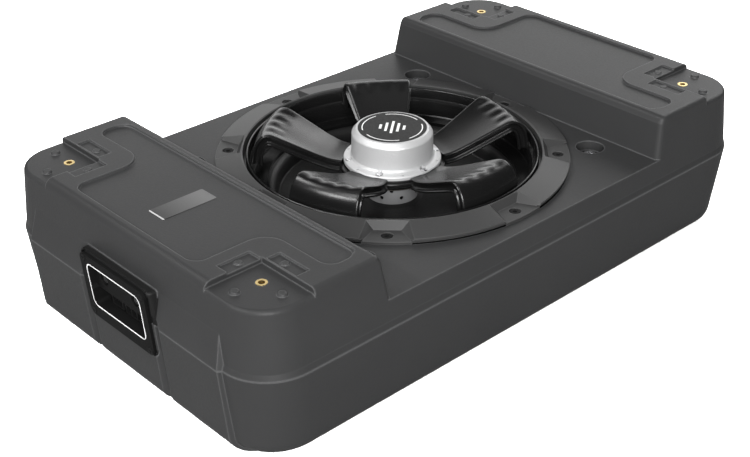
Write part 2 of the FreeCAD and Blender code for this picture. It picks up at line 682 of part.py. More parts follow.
def amp_faceplate():
    plate = plate_box(-1.0, PLATE_T - 1.0, PLATE_HALF_W, -PLATE_HALF_H, PLATE_HALF_H, 6.0)
    tub = plate_box(-POCKET_DEPTH, -1.0, POCKET_HALF_W + 2.0, POCKET_LOW - 2.0, POCKET_HIGH + 1.5, 3.0)
    plate = plate.fuse(tub)
    upper = plate_box(-3.2, 5, POCKET_HALF_W, POCKET_STEP, POCKET_HIGH, 3.0)
    lower = plate_box(-POCKET_DEPTH + 2.0, 5, POCKET_HALF_W, POCKET_LOW, POCKET_STEP, 3.0)
    cuts = [upper, lower]
    for y in (-KNOB_Y, KNOB_Y):
        cuts.append(plate_cyl(KNOB_SHAFT_R + 1.6, -5.5, 5, y, KNOB_W))
        cuts.append(plate_cyl(KNOB_SHAFT_R + RUN_CLEARANCE, -30, 5, y, KNOB_W))
    for y, w in faceplate_screw_spots():
        cuts.append(plate_cyl(1.7, -10, 5, y, w))
        cuts.append(plate_cyl(3.2, PLATE_T - 2.2, 5, y, w))
    cuts.append(box(-30, -5, -2.8, 27.2, -14.5, -4.0))
    cuts.append(box(-30, -5, -20.4, -5.4, -14.0, -5.0))
    cuts.append(plate_cyl(1.5, -30, 5, -26.2, -12.4))
    return on_plate(biggest(plate.cut(cuts)))


def faceplate_screws():
    made = []
    for y, w in faceplate_screw_spots():
        head = plate_cyl(2.9, PLATE_T - 2.2, PLATE_T - 0.6, y, w)
        shank = plate_cyl(1.45, -8.5, PLATE_T - 2.2, y, w)
        cross = fused(box(PLATE_T - 1.5, 4, y - 1.6, y + 1.6, w - 0.35, w + 0.35),
                      box(PLATE_T - 1.5, 4, y - 0.35, y + 0.35, w - 1.6, w + 1.6))
        made.append(on_plate(fused(head, shank).cut(cross)))
    return made


def trim_knob(y):
    """Recessed rotary trim: a slotted head on a short shaft."""
    shaft = plate_cyl(KNOB_SHAFT_R, -20.0, -4.2, y, KNOB_W)
    shaft = rounded(shaft, 0.4, lambda e: e.BoundBox.XMin > -4.3)
    slot = box(-5.4, 0, y - 0.5, y + 0.5, KNOB_W - 2.6, KNOB_W + 0.6)
    return on_plate(shaft.cut(slot))


def trim_pot(y):
    """Potentiometer body behind the faceplate, open towards the shaft."""
    body = box(-24.0, -14.4, y - 6.5, y + 6.5, KNOB_W - 6.5, KNOB_W + 6.5)
    return on_plate(body.cut(plate_cyl(KNOB_SHAFT_R + RUN_CLEARANCE, -20.3, 0, y, KNOB_W)))


def led_lens():
    lens = plate_cyl(1.45, -POCKET_DEPTH - 3, -POCKET_DEPTH + 3.4, -26.2, -12.4)
    return on_plate(rounded(lens, 0.9, lambda e: e.BoundBox.XMin > -POCKET_DEPTH + 3.3))


def power_socket():
    """Four-way header for battery, ground, remote turn-on and chassis."""
    body = box(-24.0, -6.5, -2.6, 27.0, -14.3, -4.2)
    cells = [box(-12.0, 0, -1.2 + 7.1 * k, 4.5 + 7.1 * k, -12.9, -5.6) for k in range(4)]
    body = body.cut(cells)
    pins = [box(-12.0, -8.0, 0.9 + 7.1 * k, 2.4 + 7.1 * k, -10.0, -8.6) for k in range(4)]
    return on_plate(fused(body, *pins))


def signal_socket():
    body = box(-24.0, -6.5, -20.2, -5.6, -13.8, -5.2)
    cavity = box(-12.0, 0, -19.0, -6.8, -12.6, -6.4)
    pins = [plate_cyl(0.5, -12.0, -8.0, -17.5 + 3.05 * k, -9.5) for k in range(4)]
    return on_plate(fused(body.cut(cavity), *pins))


def amp_tray():
    """Folded aluminium tray under the circuit board."""
    floor = box(-262, -182, -68, 68, AMP_TRAY_Z, AMP_TRAY_Z + 2)
    side = box(-184, -182, -68, 68, AMP_TRAY_Z, AMP_TRAY_Z + 34)
    tray = fused(floor, side)
    holes = [cyl(2.0, 20, 40, x, y) for x, y in AMP_SPOTS]
    return tray.cut(holes)


def tray_screws():
    made = []
    for x, y in AMP_SPOTS:
        made.append(fused(cyl(3.4, AMP_TRAY_Z + 2, AMP_TRAY_Z + 4.2, x, y), cyl(1.45, 14.0, AMP_TRAY_Z + 2, x, y)))
    return made


BOARD_SPOTS = [(x, y) for x in (-238.0, -200.0) for y in (-58.0, 58.0)]


def board_spacers():
    return [tube(3.0, 1.6, AMP_TRAY_Z + 2, BOARD_Z, x, y) for x, y in BOARD_SPOTS]


def board_screws():
    made = []
    for x, y in BOARD_SPOTS:
        head = cyl(2.8, BOARD_Z + 1.6, BOARD_Z + 3.4, x, y)
        shank = cyl(1.5, AMP_TRAY_Z + 2.2, BOARD_Z + 1.6, x, y)
        made.append(fused(head, shank))
    return made


def amp_board():
    board = box(-244, -188, -66, 66, BOARD_Z, BOARD_Z + 1.6)
    return board.cut([cyl(1.6, 40, 50, x, y) for x, y in BOARD_SPOTS])


def heat_sink():
    """Finned bar on the tray's upright side, above the board."""
    plate = box(-188.0, -184.0, -60, 60, BOARD_Z + 3, BOARD_Z + 30)
    fins = [box(-181.98, -172.0, y - 1.0, y + 1.0, AMP_TRAY_Z + 4, AMP_TRAY_Z + 33) for y in range(-60, 61, 10)]
    rail = box(-182.0, -179.0, -62, 62, AMP_TRAY_Z + 4, AMP_TRAY_Z + 33)
    return [plate, fused(rail, *fins)]


def output_transistors():
    made = []
    for y in (-45.0, -15.0, 15.0, 45.0):
        body = box(-192.8, -188.0, y - 7.8, y + 7.8, BOARD_Z + 7, BOARD_Z + 27)
        leg = box(-190.6, -189.8, y - 0.5, y + 0.5, BOARD_Z + 1.6, BOARD_Z + 7)
        legs = [leg.translated(V(0, d, 0)) for d in (-5.0, 0.0, 5.0)]
        made.append(fused(body, *legs))
    return made


def power_capacitors():
    can = rounded(cyl(8.0, BOARD_Z + 1.6, BOARD_Z + 30, -214, 0), 1.0, flat_at(BOARD_Z + 30))
    return [can.translated(V(0, y, 0)) for y in (-30.0, -12.0, 6.0)]


def power_choke():
    core = Part.makeTorus(11.5, 4.4, V(-212, 36, BOARD_Z + 6.2))
    return core


def link_cables():
    """Flying leads from the faceplate's sockets to the circuit board."""
    rear = PLATE_FRAME.multVec(V(-24.3, 0, -9.2))
    made = []
    for y in (-16.0, -12.0, 8.0, 12.0, 16.0):
        pts = [(rear.x, y, rear.z), (rear.x + 5, y, rear.z - 1), (-246, y, BOARD_Z + 9), (-240, y, BOARD_Z + 2.7)]
        made.append(wire(pts, 0.9))
    return made


def woofer_cable():
    """Pair of leads from the board, over the heat sink, to the woofer's terminals."""
    end = polar(138.3, LEAD_ANGLE, 80.0)
    made = []
    for y, side in ((-27.5, 5.0), (-32.0, -5.0)):
        tip = end + polar(side, LEAD_ANGLE + 270)
        made.append(wire([
            (-200.0, y, BOARD_Z + 3.2), (-198.5, y, 62.0), (-190.0, y, 80.0), (-176.0, y, 82.0),
            (-160.0, y - 4, 79.0), (tip.x - 6, tip.y - 2, 78.4), (tip.x, tip.y, 78.2),
        ], 1.4))
    return made


def damping_foam():
    pad = box(-118, 118, -112, 112, WALL, 20.0)
    return rounded(pad, 8.0, lambda e: e.BoundBox.ZLength > 10)


NODES = {
    "baffle_shell": baffle_shell,
    "base_shell": base_shell,
    "shell_gasket": shell_gasket,
    "shell_screws": shell_screws,
    "mount_inserts": mount_inserts,
    "rating_plate": rating_plate,
    "trim_ring": trim_ring,
    "ring_screws": ring_screws,
    "flange_gasket": flange_gasket,
    "basket": basket,
    "woofer_terminals": woofer_terminals,
    "lead_wires": lead_wires,
    "motor_cup": motor_cup,
    "motor_screws": motor_screws,
    "isolation_plate": isolation_plate,
    "gap_plate": gap_plate,
    "magnet": magnet,
    "pole_plate": pole_plate,
    "motor_badge": motor_badge,
    "coil_former": coil_former,
    "coil_winding": coil_winding,
    "cone": cone,
    "dust_cap": dust_cap,
    "surround": surround,
    "spider": spider,
    "amp_faceplate": amp_faceplate,
    "faceplate_screws": faceplate_screws,
    "gain_trim": lambda: trim_knob(-KNOB_Y),
    "lowpass_trim": lambda: trim_knob(KNOB_Y),
    "gain_pot": lambda: trim_pot(-KNOB_Y),
    "lowpass_pot": lambda: trim_pot(KNOB_Y),
    "power_led": led_lens,
    "power_socket": power_socket,
    "signal_socket": signal_socket,
    "amp_tray": amp_tray,
    "tray_screws": tray_screws,
    "board_spacers": board_spacers,
    "board_screws": board_screws,
    "amp_board": amp_board,
    "heat_sink": heat_sink,
    "output_transistors": output_transistors,
    "power_capacitors": power_capacitors,
    "power_choke": power_choke,
    "link_cables": link_cables,
    "woofer_cable": woofer_cable,
    "damping_foam": damping_foam,
}

os.makedirs("parts", exist_ok=True)
for node, make in NODES.items():
    export(node, make())
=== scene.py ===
"""Powered car subwoofer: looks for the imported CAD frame. Metres, row frame: +Z up, faceplate at -X."""
import math

import bpy
from mathutils import Matrix, Vector

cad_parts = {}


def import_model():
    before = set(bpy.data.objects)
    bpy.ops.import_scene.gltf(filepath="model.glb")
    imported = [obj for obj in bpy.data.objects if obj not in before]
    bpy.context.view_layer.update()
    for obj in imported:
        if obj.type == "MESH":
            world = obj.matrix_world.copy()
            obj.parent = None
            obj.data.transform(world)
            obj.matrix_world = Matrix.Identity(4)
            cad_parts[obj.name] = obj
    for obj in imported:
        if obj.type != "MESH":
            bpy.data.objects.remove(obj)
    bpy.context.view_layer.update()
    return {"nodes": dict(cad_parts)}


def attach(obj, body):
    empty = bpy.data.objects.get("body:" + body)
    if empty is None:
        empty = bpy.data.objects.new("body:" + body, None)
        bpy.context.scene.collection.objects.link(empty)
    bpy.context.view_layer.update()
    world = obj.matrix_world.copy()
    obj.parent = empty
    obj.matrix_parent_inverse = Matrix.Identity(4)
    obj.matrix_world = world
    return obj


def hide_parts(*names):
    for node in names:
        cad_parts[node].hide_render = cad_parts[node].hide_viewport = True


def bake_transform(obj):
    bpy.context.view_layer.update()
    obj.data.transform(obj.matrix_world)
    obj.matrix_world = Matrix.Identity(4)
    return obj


MM = 0.001

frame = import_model()
nodes = frame["nodes"]


# ---- shader helpers -----------------------------------------------------------------------------
class Shader:
    """Small wrapper that builds one node material."""

    def __init__(self, name):
        self.material = bpy.data.materials.new(name)
        self.material.use_nodes = True
        self.tree = self.material.node_tree
        self.bsdf = self.tree.nodes["Principled BSDF"]
        self.coords = self.tree.nodes.new("ShaderNodeTexCoord").outputs["Object"]

    def add(self, kind, **values):
        node = self.tree.nodes.new(kind)
        for key, value in values.items():
            setattr(node, key, value)
        return node

    def link(self, source, target):
        self.tree.links.new(source, target)

    def plug(self, socket, value):
        if hasattr(value, "is_output"):
            self.link(value, socket)
        else:
            socket.default_value = value

    def math(self, operation, a, b=0.0, c=0.0):
        node = self.add("ShaderNodeMath", operation=operation)
        for socket, value in zip(node.inputs, (a, b, c)):
            self.plug(socket, value)
        return node.outputs[0]

    def noise(self, scale, detail=2.0, roughness=0.5, vector=None):
        node = self.add("ShaderNodeTexNoise")
        node.inputs["Scale"].default_value = scale
        node.inputs["Detail"].default_value = detail
        node.inputs["Roughness"].default_value = roughness
        self.link(vector or self.coords, node.inputs["Vector"])
        return node.outputs["Fac"]

    def spread(self, value, low, high, from_low=0.35, from_high=0.65):
        node = self.add("ShaderNodeMapRange")
        self.plug(node.inputs["Value"], value)
        node.inputs["From Min"].default_value = from_low
        node.inputs["From Max"].default_value = from_high
        node.inputs["To Min"].default_value = low
        node.inputs["To Max"].default_value = high
        return node.outputs["Result"]

    def mix(self, factor, a, b):
        node = self.add("ShaderNodeMix", data_type="RGBA")
        self.plug(node.inputs["Factor"], factor)
        self.plug(node.inputs["A"], a)
        self.plug(node.inputs["B"], b)
        return node.outputs["Result"]

    def bump(self, height, strength, distance, edge=0.0):
        """Relief from a height, with the sharp edges shaded as if rounded to the edge radius."""
        node = self.add("ShaderNodeBump")
        node.inputs["Strength"].default_value = strength
        node.inputs["Distance"].default_value = distance
        self.link(height, node.inputs["Height"])
        if edge:
            soft = self.add("ShaderNodeBevel", samples=4)
            soft.inputs["Radius"].default_value = edge
            self.link(soft.outputs["Normal"], node.inputs["Normal"])
        self.link(node.outputs["Normal"], self.bsdf.inputs["Normal"])

    def near_edge(self, radius, reach):
        """0 on flat and gently curved faces, rising to 1 on the edges within the radius."""
        soft = self.add("ShaderNodeBevel", samples=6)
        soft.inputs["Radius"].default_value = radius
        true = self.add("ShaderNodeNewGeometry").outputs["Normal"]
        dot = self.add("ShaderNodeVectorMath", operation="DOT_PRODUCT")
        self.link(soft.outputs["Normal"], dot.inputs[0])
        self.link(true, dot.inputs[1])
        return self.spread(dot.outputs["Value"], 1.0, 0.0, 1.0 - reach, 1.0)

    def xyz(self):
        node = self.add("ShaderNodeSeparateXYZ")
        self.link(self.coords, node.inputs[0])
        return node.outputs


def grey(value, tint=0.0):
    return (value, value * (1 + tint * 0.3), value * (1 + tint), 1.0)


def surface(name, colour, rough, metallic=0.0, grain=900.0, relief=0.25, shade=0.12, shine=0.5, edge=0.0):
    """Solid finish with fine grain in its relief, a soft drift in its colour and in its roughness."""
    s = Shader(name)
    drift = s.noise(14.0, 3.0)
    dark = tuple(c * (1 - shade) for c in colour[:3]) + (1.0,)
    light = tuple(min(c * (1 + shade), 1.0) for c in colour[:3]) + (1.0,)
    s.link(s.mix(drift, dark, light), s.bsdf.inputs["Base Color"])
    s.bsdf.inputs["Metallic"].default_value = metallic
    s.bsdf.inputs["Specular IOR Level"].default_value = shine
    fine = s.noise(grain, 3.0, 0.6)
    s.link(s.spread(fine, rough * 0.92, min(rough * 1.08, 1.0)), s.bsdf.inputs["Roughness"])
    if relief:
        s.bump(fine, relief, 0.0002, edge)
    return s


def cloth(name, colour, pitch, rough=0.9):
    """Woven or foamed surface: crossed waves in the relief and the colour."""
    s = Shader(name)
    x, y = s.xyz()[:2]
    across = s.math("SINE", s.math("MULTIPLY", x, 2 * math.pi / pitch))
    along = s.math("SINE", s.math("MULTIPLY", y, 2 * math.pi / pitch))
    weave = s.math("MULTIPLY_ADD", s.math("MULTIPLY", across, along), 0.5, 0.5)
    dark = tuple(c * 0.6 for c in colour[:3]) + (1.0,)
    s.link(s.mix(weave, dark, colour), s.bsdf.inputs["Base Color"])
    s.bsdf.inputs["Roughness"].default_value = rough
    s.bump(weave, 0.5, 0.0003)
    return s


def brushed(name, colour, rough, axis=2):
    """Metal with fine lines round the Z axis."""
    s = surface(name, colour, rough, metallic=1.0, grain=500.0, relief=0.1, shade=0.08)
    stretch = s.add("ShaderNodeMapping")
    s.link(s.coords, stretch.inputs["Vector"])
    scale = [1.0, 1.0, 1.0]
    scale[axis] = 30.0
    stretch.inputs["Scale"].default_value = scale
    lines = s.noise(260.0, 2.0, 0.5, stretch.outputs["Vector"])
    s.link(s.spread(lines, rough * 0.8, rough * 1.25), s.bsdf.inputs["Roughness"])
    s.bump(lines, 0.15, 0.0001)
    return s


PLATE_CENTRE = Vector((-279.95, -2.0, 71.8)) * MM
PLATE_TILT = math.radians(4.8)
PLATE_FACE = 1.2
OUTLINE_HALF_W = 34.4
OUTLINE_HALF_H = 19.2
OUTLINE_RAISE = 1.9
OUTLINE_CORNER = 6.0
OUTLINE_WIDTH = 1.1


def shell_material():
    """Injection-moulded box: fine spark texture with a slight sheen."""
    s = surface("shell_plastic", grey(0.033, 0.02), 0.42, grain=650.0, relief=0.35, shine=0.16, edge=0.9 * MM)
    # handling polishes the edges a little lighter
    # painted highlight: the edges are lightened in the colour, as if catching light
    base = s.bsdf.inputs["Base Color"].links[0].from_socket
    base = s.mix(s.near_edge(2.2 * MM, 0.14), base, grey(0.090, 0.02))
    # painted shade: the wedge that carries the faceplate is darkened in the colour, standing in for the shadow it
    # lies in
    x, y, z = s.xyz()
    beside = s.math("LESS_THAN", s.math("ABSOLUTE", s.math("SUBTRACT", y, PLATE_CENTRE.y)), 47.5 * MM)
    above = s.math("GREATER_THAN", z, 73.0 * MM)
    below = s.math("LESS_THAN", z, 101.0 * MM)
    ahead = s.math("LESS_THAN", x, -274.5 * MM)
    wedge_painted_shade = s.math("MULTIPLY", s.math("MULTIPLY", beside, ahead), s.math("MULTIPLY", above, below))
    s.link(s.mix(wedge_painted_shade, base, grey(0.010)), s.bsdf.inputs["Base Color"])
    return s.material


def ring_material():
    """Smooth satin ring, with a painted highlight lightening its edges."""
    s = surface("ring_plastic", grey(0.038), 0.4, grain=1300.0, relief=0.1, shine=0.22, edge=0.6 * MM)
    base = s.bsdf.inputs["Base Color"].links[0].from_socket
    # painted highlight: the edges are lightened in the colour
    s.link(s.mix(s.near_edge(1.4 * MM, 0.14), base, grey(0.075)), s.bsdf.inputs["Base Color"])
    return s.material


def casting_material():
    """Bright die-cast aluminium: granular, with a soft mottled roughness."""
    colour = grey(0.56, 0.01)
    s = surface("cast_motor", colour, 0.48, metallic=0.4, grain=520.0, relief=1.0, shade=0.18, edge=0.8 * MM)
    return s.material


def badge_material():
    """Black film with a light ring in four arcs and a plain row of bars at its centre."""
    s = Shader("badge_film")
    x, y = s.xyz()[:2]
    radius = s.math("SQRT", s.math("ADD", s.math("MULTIPLY", x, x), s.math("MULTIPLY", y, y)))
    angle = s.math("ARCTAN2", y, x)
    ring = s.math("LESS_THAN", s.math("ABSOLUTE", s.math("SUBTRACT", radius, 25.4 * MM)), 0.45 * MM)
    turned = s.math("ADD", angle, math.radians(20))
    arcs = s.math("GREATER_THAN", s.math("ABSOLUTE", s.math("SINE", s.math("MULTIPLY", turned, 2.0))), 0.35)
    light = s.math("MULTIPLY", ring, arcs)
    turn = math.radians(40)
    along = s.math("ADD", s.math("MULTIPLY", x, math.cos(turn)), s.math("MULTIPLY", y, math.sin(turn)))
    across = s.math("SUBTRACT", s.math("MULTIPLY", y, math.cos(turn)), s.math("MULTIPLY", x, math.sin(turn)))
    for offset, reach in ((-10.0, 4.0), (-5.0, 8.0), (0.0, 11.5), (5.0, 8.0), (10.0, 4.0)):
        beside = s.math("ABSOLUTE", s.math("SUBTRACT", across, offset * MM))
        bar = s.math("MULTIPLY", s.math("LESS_THAN", beside, 1.1 * MM),
                     s.math("LESS_THAN", s.math("ABSOLUTE", along), reach * MM))
        light = s.math("MAXIMUM", light, bar)
    s.link(s.mix(light, grey(0.008), grey(0.85)), s.bsdf.inputs["Base Color"])
    s.bsdf.inputs["Specular IOR Level"].default_value = 0.2
    fine = s.noise(700.0, 2.0)
    s.link(s.spread(fine, 0.45, 0.55), s.bsdf.inputs["Roughness"])
    s.bump(fine, 0.08, 0.0001)
    return s.material


def nameplate_material():
    """Satin metal label: a painted reflection darkens it toward the faceplate's end, with a thin painted highlight
    along that edge.
    """
    s = surface("nameplate", grey(0.03), 0.35, grain=700.0, relief=0.1)
    x = s.xyz()[0]
    # painted reflection along the label, and a painted highlight on its end toward the faceplate
    painted_reflection_fade = s.spread(x, 0.0, 1.0, -237.0 * MM, -196.0 * MM)
    edge = s.math("LESS_THAN", x, -237.8 * MM)
    base = s.mix(painted_reflection_fade, grey(0.012), grey(0.10))
    s.link(s.mix(edge, base, grey(0.5)), s.bsdf.inputs["Base Color"])
    return s.material


def faceplate_material():
    """Moulded faceplate with a light printed outline round its recess."""
    s = surface("faceplate_plastic", grey(0.006), 0.55, grain=1500.0, relief=0.2, shine=0.08, edge=0.5 * MM)
    x, y, z = s.xyz()
    dx = s.math("SUBTRACT", x, PLATE_CENTRE.x)
    dh = s.math("SUBTRACT", z, PLATE_CENTRE.z)
    cos, sin = math.cos(PLATE_TILT), math.sin(PLATE_TILT)
    # height up the tilted plate, and distance out of its face
    up = s.math("SUBTRACT", s.math("MULTIPLY", dh, cos), s.math("MULTIPLY", dx, sin))
    out = s.math("MULTIPLY", s.math("ADD", s.math("MULTIPLY", dx, cos), s.math("MULTIPLY", dh, sin)), -1.0)
    # rounded-box distance to the outline, in metres
    side = s.math("ABSOLUTE", s.math("SUBTRACT", y, PLATE_CENTRE.y))
    rise = s.math("ABSOLUTE", s.math("SUBTRACT", up, OUTLINE_RAISE * MM))
    dy = s.math("SUBTRACT", side, (OUTLINE_HALF_W - OUTLINE_CORNER) * MM)
    dz = s.math("SUBTRACT", rise, (OUTLINE_HALF_H - OUTLINE_CORNER) * MM)
    py = s.math("MAXIMUM", dy, 0.0)
    pz = s.math("MAXIMUM", dz, 0.0)
    outside = s.math("SQRT", s.math("ADD", s.math("MULTIPLY", py, py), s.math("MULTIPLY", pz, pz)))
    inside = s.math("MINIMUM", s.math("MAXIMUM", dy, dz), 0.0)
    distance = s.math("SUBTRACT", s.math("ADD", outside, inside), OUTLINE_CORNER * MM)
    line = s.math("LESS_THAN", s.math("ABSOLUTE", distance), OUTLINE_WIDTH * 0.5 * MM)
    front = s.math("GREATER_THAN", out, PLATE_FACE * MM)
    mask = s.math("MULTIPLY", line, front)
    base = s.bsdf.inputs["Base Color"].links[0].from_socket
    s.link(s.mix(mask, base, grey(0.86)), s.bsdf.inputs["Base Color"])
    return s.material


# ---- mesh helpers -------------------------------------------------------------------------------
def make_object(name, verts, faces, material, smooth_angle=35.0):
    mesh = bpy.data.meshes.new(name)
    mesh.from_pydata([tuple(v) for v in verts], [], faces)
    mesh.validate()
    obj = bpy.data.objects.new(name, mesh)
    bpy.context.scene.collection.objects.link(obj)
    mesh.materials.append(material)
    shade(obj, smooth_angle)
    return obj


def shade(obj, angle):
    bpy.ops.object.select_all(action="DESELECT")
    obj.select_set(True)
    bpy.context.view_layer.objects.active = obj
    bpy.ops.object.shade_smooth_by_angle(angle=math.radians(angle))


def revolved(profile, segments=144):
    """Closed ring mesh from a closed (radius, z) profile in millimetres."""
    count = len(profile)
    verts = []
    for k in range(segments):
        a = 2 * math.pi * k / segments
        verts += [(r * MM * math.cos(a), r * MM * math.sin(a), z * MM) for r, z in profile]
    faces = []
    for k in range(segments):
        n = (k + 1) % segments
        for i in range(count):
            j = (i + 1) % count
            faces.append((k * count + i, n * count + i, n * count + j, k * count + j))
    return verts, faces


def catmull_rom(a, b, c, d, t):
    square = 2 * a - 5 * b + 4 * c - d
    cube = 3 * b - a - 3 * c + d
    return 0.5 * (2 * b + (c - a) * t + square * t * t + cube * t ** 3)


def smooth_line(points, steps):
    """Catmull-Rom curve through 2-D points."""
    pts = [points[0]] + list(points) + [points[-1]]
    out = []
    for i in range(1, len(pts) - 2):
        p0, p1, p2, p3 = pts[i - 1:i + 3]
        for k in range(steps):
            t = k / steps
            out.append(tuple(catmull_rom(a, b, c, d, t) for a, b, c, d in zip(p0, p1, p2, p3)))
    out.append(tuple(points[-1]))
    return out


def merged(*meshes):
    verts = []
    faces = []
    for v, f in meshes:
        base = len(verts)
        verts += v
        faces += [tuple(i + base for i in face) for face in f]
    return verts, faces


# ---- basket -------------------------------------------------------------------------------------
SPOKES = 5
SPOKE_PHASE = 54.0
CREST_R = 99.0
DIMPLES = (-18.9, -6.3, 6.3, 18.9)
DIMPLE_HALF_W = 6.0
DIMPLE_HALF_L = 10.5
DIMPLE_DEPTH = 0.7


def half_width(r):
    return 18.6 + (r - 50.0) * 0.183


def dimple(y, arc):
    """Depth of the four finger dimples at a side offset and a distance along the spoke from its crest."""
    along = abs(arc) / DIMPLE_HALF_L
    if along >= 1:
        return 0.0
    depth = 0.0
    for centre in DIMPLES:
        side = abs(y - centre) / DIMPLE_HALF_W
        if side < 1:
            depth += DIMPLE_DEPTH * math.cos(side * math.pi / 2) ** 2 * math.cos(along * math.pi / 2) ** 1.2
    return depth


# one stepped side flange of a spoke, as (outward, depth) from the edge of its top
SPOKE_EDGE = [
    (0.2, 0.25), (0.9, 0.9), (1.0, 1.8), (0.5, 2.5), (-0.5, 3.1), (-0.9, 4.0), (-0.9, 6.4), (-0.2, 7.2),
    (1.3, 7.5), (1.9, 8.2), (1.8, 9.2), (0.9, 9.8), (-1.8, 9.8), (-2.6, 9.0), (-2.8, 5.4),
]
# centre line of a spoke's top, as (radius, height), from the hub over the shoulder into the rim
SPOKE_LINE = [
    (40.5, 93.8), (44.0, 94.4), (50.0, 95.8), (62.0, 100.6), (76.0, 106.8), (90.0, 113.0), (98.0, 116.4),
    (103.0, 117.7), (108.0, 117.0), (112.4, 113.8), (116.0, 108.6), (118.6, 101.0), (119.6, 95.0), (120.0, 91.0),
]


def spoke_mesh(angle):
    """One pressed spoke: dished top with finger dimples, stepped side flanges, open underneath."""
    line = smooth_line(SPOKE_LINE, 7)
    arcs = [0.0]
    for a, b in zip(line, line[1:]):
        arcs.append(arcs[-1] + math.dist(a, b))
    crest = min(range(len(line)), key=lambda k: abs(line[k][0] - CREST_R) + (line[k][1] < 110) * 100)
    across = 61
    rings = []
    for i, (r, z) in enumerate(line):
        before = line[max(i - 1, 0)]
        after = line[min(i + 1, len(line) - 1)]
        dr, dz = after[0] - before[0], after[1] - before[1]
        length = math.hypot(dr, dz) or 1.0
        nr, nz = -dz / length, dr / length
        half = half_width(r)
        ring = []
        for k in range(across):
            u = -1 + 2 * k / (across - 1)
            y = u * (half - 0.6)
            ring.append((y, 0.9 * (1 - u * u) + dimple(y, arcs[i] - arcs[crest])))
        ring += [(half + o, d) for o, d in SPOKE_EDGE]
        ring += [(half * t, 5.2) for t in (0.6, 0.2, -0.2, -0.6)]
        ring += [(-(half + o), d) for o, d in reversed(SPOKE_EDGE)]
        depth_limit = 0.55 if i < 2 else 1.0
        bend = min(max((r - 60.0) / 40.0, 0.0), 1.0)
        pts = []
        for y, d in ring:
            rr = r - nr * d * depth_limit
            zz = z - nz * d * depth_limit
            curved = Vector((rr * math.cos(y / r), rr * math.sin(y / r)))
            p = Vector((rr, y)).lerp(curved, bend)
            pts.append((p.x * MM, p.y * MM, zz * MM))
        rings.append(pts)
    count = len(rings[0])
    verts = [p for ring in rings for p in ring]
    faces = []
    for i in range(len(rings) - 1):
        for k in range(count):
            n = (k + 1) % count
            faces.append((i * count + k, i * count + n, (i + 1) * count + n, (i + 1) * count + k))
    faces.append(tuple(reversed(range(count))))
    faces.append(tuple((len(rings) - 1) * count + k for k in range(count)))
    turn = Matrix.Rotation(math.radians(angle), 4, "Z")
    return [tuple(turn @ Vector(v)) for v in verts], faces


def basket_mesh():
    rim = revolved([
        (106.0, 74.0), (124.0, 74.0), (124.0, 90.2), (147.5, 90.2), (147.5, 94.8), (124.0, 94.8),
        (124.0, 101.4), (123.6, 102.1), (122.9, 102.4), (122.2, 102.1), (121.7, 101.4), (121.5, 93.4), (120.4, 92.4),
        (118.8, 92.0), (118.4, 91.2), (118.4, 78.2), (117.6, 77.2), (106.0, 77.0),
    ], 180)
    hub = revolved([
        (26.0, 86.3), (34.0, 86.3), (34.0, 82.0), (39.5, 82.0), (40.5, 86.0), (44.6, 86.3), (45.4, 87.0),
        (45.4, 89.2), (44.8, 89.8), (26.0, 89.8),
    ], 120)
    spokes = [spoke_mesh(SPOKE_PHASE + 360.0 * k / SPOKES) for k in range(SPOKES)]
    return merged(rim, hub, *spokes)


# ---- materials for every node -------------------------------------------------------------------
shell = shell_material()
black_screw = surface("black_screw", grey(0.010), 0.6, grain=800.0, relief=0.1, shine=0.1).material
socket_plastic = surface("socket_plastic", grey(0.006), 0.5, grain=1200.0, relief=0.2, shine=0.2).material
zinc = brushed("zinc_screw", (0.62, 0.62, 0.63, 1.0), 0.28).material
gasket = surface("seal_foam", grey(0.010), 0.9, grain=1400.0, relief=0.8).material
dark_plastic = surface("dark_plastic", grey(0.014), 0.45, grain=1200.0, relief=0.2).material
basket_paint = surface("basket_paint", grey(0.006), 0.25, grain=60.0, relief=0.0, shade=0.15, shine=0.4)
basket_paint = basket_paint.material
rubber = surface("roll_rubber", grey(0.009), 0.52, grain=900.0, relief=0.2).material
steel = brushed("motor_steel", (0.5, 0.5, 0.51, 1.0), 0.35).material
copper = brushed("copper", (0.78, 0.36, 0.18, 1.0), 0.3).material
brass = brushed("brass", (0.86, 0.66, 0.30, 1.0), 0.3).material
sheet = brushed("tray_metal", (0.68, 0.69, 0.7, 1.0), 0.4, axis=1).material
package = surface("package", grey(0.015), 0.5, grain=900.0).material

former_metal = surface("former_metal", grey(0.30, 0.02), 0.5, metallic=0.2, grain=600.0, relief=0.2).material

